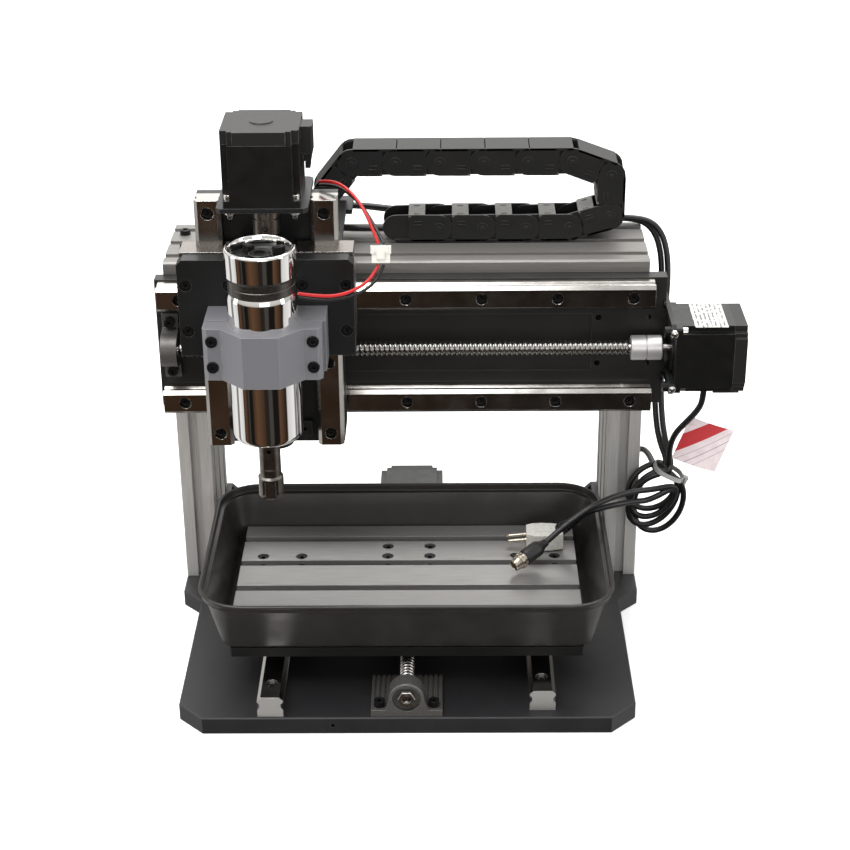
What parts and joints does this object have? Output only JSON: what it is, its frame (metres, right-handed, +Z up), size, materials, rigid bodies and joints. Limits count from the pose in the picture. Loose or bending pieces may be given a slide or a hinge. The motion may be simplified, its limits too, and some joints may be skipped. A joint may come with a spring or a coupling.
{
  "type": "cnc router",
  "caption": "Bench-top router with a fixed gantry, ball-screw axes, a clamped spindle and a slotted table that moves in a drip tray.",
  "frame": {"origin": "middle of the base plate's underside", "axes": "+X along the gantry towards the X motor, +Y from the front bearing towards the Y motor, +Z up"},
  "size_m": [0.4718, 0.3398, 0.4563],
  "materials": {
    "base_coat": "satin charcoal powder coat",
    "aluminium": "brushed, clear anodised",
    "black_plate": "black anodised, satin",
    "rail_steel": "ground and polished",
    "screw_steel": "ground steel",
    "black_screws": "black oxide",
    "grey_housing": "cast, satin",
    "grey_clamp": "bead blasted, matte",
    "motor_black": "semi-gloss black",
    "motor_grey": "matte grey",
    "chrome": "mirror polished",
    "tray_coating": "satin non-stick coating",
    "chain_plastic": "moulded, satin",
    "black_cable": "smooth jacket",
    "red_wire": "smooth insulation",
    "tie_plastic": "moulded",
    "tag_paper": "coated card",
    "plug_metal": "nickel plated",
    "white_plastic": "moulded"
  },
  "bodies": {
    "frame": {"base_plate": "base_coat", "columns": "aluminium", "column_gussets": "black_plate", "gantry_beam": "aluminium", "gantry_face_plate": "black_plate", "x_rails": "rail_steel", "y_rails": "rail_steel", "frame_screws": "black_screws", "x_screw_bearing": "grey_housing", "y_front_bearing": "grey_housing", "motor_mounts": "black_plate", "x_motor": "motor_black", "y_motor": "motor_black", "motor_end_caps": "motor_grey", "cable_chain_lower": "chain_plastic", "harness_cable": "black_cable", "cable_hank": "black_cable", "cable_tie": "tie_plastic", "inspection_tag": "tag_paper", "x_motor_lead": "black_cable", "y_motor_lead": "black_cable", "lead_a": "black_cable", "lead_b": "black_cable"},
    "x_screw_rotor": {"x_screw": "screw_steel", "x_coupling": "screw_steel"},
    "y_screw_rotor": {"y_screw": "screw_steel"},
    "z_screw_rotor": {"z_screw": "screw_steel", "z_coupling": "screw_steel"},
    "x_carriage": {"x_carriage_body": "black_plate", "x_bearing_blocks": "rail_steel", "x_nut_housing": "grey_housing", "z_rails": "rail_steel", "z_rail_screws": "black_screws", "z_motor_plate": "black_plate", "z_motor": "motor_black", "z_motor_cap": "motor_grey", "z_screw_bearing": "grey_housing", "cable_chain_upper": "chain_plastic", "red_lead": "red_wire", "black_lead": "black_cable"},
    "z_carriage": {"z_plate": "black_plate", "z_bearing_blocks": "rail_steel", "z_nut_housing": "grey_housing", "clamp_rear": "grey_clamp", "clamp_front": "grey_clamp", "z_plate_screws": "black_screws", "spindle_body": "chrome", "spindle_cap": "chrome", "lead_connector": "white_plastic"},
    "spindle_rotor": {"spindle_shaft": "screw_steel", "collet_nut": "screw_steel"},
    "y_carriage": {"y_carriage_plate": "black_plate", "y_bearing_blocks": "rail_steel", "y_nut_housing": "grey_housing", "drip_tray": "tray_coating", "t_slot_table": "aluminium", "table_screws": "black_screws", "plug_a": "plug_metal", "plug_b": "white_plastic"},
    "chain_bend": {"cable_chain_bend": "chain_plastic"}
  },
  "joints": [
    {"name": "x_slide", "type": "slide", "parent": "frame", "child": "x_carriage", "axis": [1, 0, 0], "range_m": [0, 0.2], "deforming": ["cable_chain_upper", "cable_chain_lower"]},
    {"name": "y_slide", "type": "slide", "parent": "frame", "child": "y_carriage", "axis": [0, 1, 0], "range_m": [-0.085, 0.045], "deforming": ["lead_a", "lead_b"]},
    {"name": "z_slide", "type": "slide", "parent": "x_carriage", "child": "z_carriage", "axis": [0, 0, 1], "range_m": [-0.068, 0.01], "deforming": ["red_lead", "black_lead"]},
    {"name": "x_spin", "type": "hinge", "parent": "frame", "child": "x_screw_rotor", "pos_m": [0, 0.0227, 0.24575], "axis": [1, 0, 0], "continuous": true},
    {"name": "y_spin", "type": "hinge", "parent": "frame", "child": "y_screw_rotor", "pos_m": [0, -0.006, 0.03], "axis": [0, 1, 0], "continuous": true},
    {"name": "z_spin", "type": "hinge", "parent": "x_carriage", "child": "z_screw_rotor", "pos_m": [-0.1006, -0.047, 0.3], "axis": [0, 0, 1], "continuous": true},
    {"name": "spindle_spin", "type": "hinge", "parent": "z_carriage", "child": "spindle_rotor", "pos_m": [-0.1006, -0.1035, 0.2], "axis": [0, 0, 1], "continuous": true},
    {"name": "chain_roll", "type": "slide", "parent": "frame", "child": "chain_bend", "axis": [1, 0, 0], "range_m": [0, 0.1]}
  ],
  "couplings": [
    {"joint": "x_spin", "follows": "x_slide", "rad_per_m": -1570.8},
    {"joint": "y_spin", "follows": "y_slide", "rad_per_m": -1570.8},
    {"joint": "z_spin", "follows": "z_slide", "rad_per_m": -1570.8},
    {"joint": "chain_roll", "follows": "x_slide", "ratio": 0.5}
  ]
}
